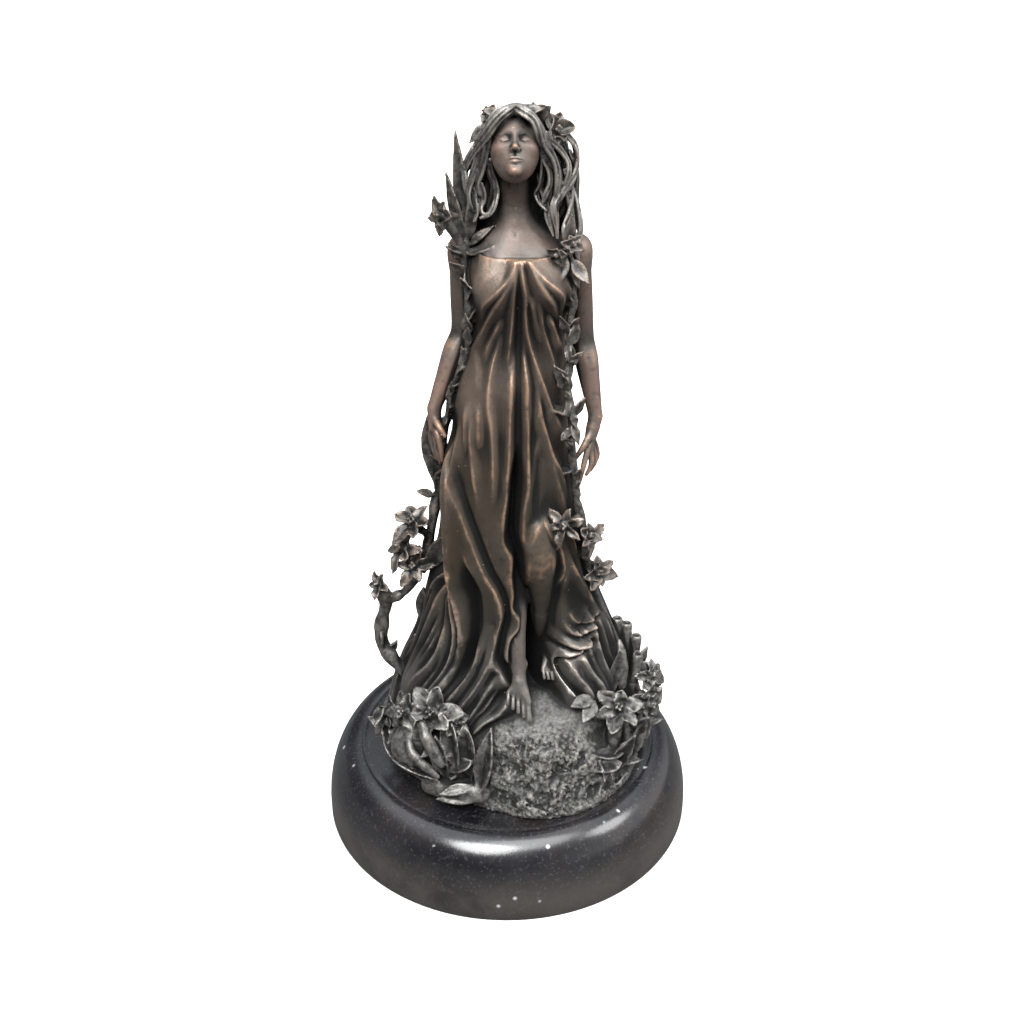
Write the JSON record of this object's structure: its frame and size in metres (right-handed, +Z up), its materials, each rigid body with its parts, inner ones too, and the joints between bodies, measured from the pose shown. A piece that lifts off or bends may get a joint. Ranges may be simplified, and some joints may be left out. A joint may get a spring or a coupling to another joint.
{
  "type": "bronze flora statue",
  "caption": "Bronze statue of a draped woman with flowing hair, stepping down a rock among flowering vines, on a round polished stone plinth.",
  "frame": {"origin": "centre of the plinth's underside", "axes": "+Z up through the figure, -Y is the way the figure faces, +X is the viewer's right"},
  "size_m": [0.174, 0.174, 0.3385],
  "materials": {
    "patinated_bronze": "dark brown patina rubbed back to warm brown on skin and fold ridges, grey-green and matt in the recesses",
    "polished_stone": "polished near-black marble with fine pale specks and a few chipped white flecks"
  },
  "bodies": {
    "root": {"bronze_figure": "patinated_bronze", "stone_plinth": "polished_stone"}
  },
  "joints": []
}
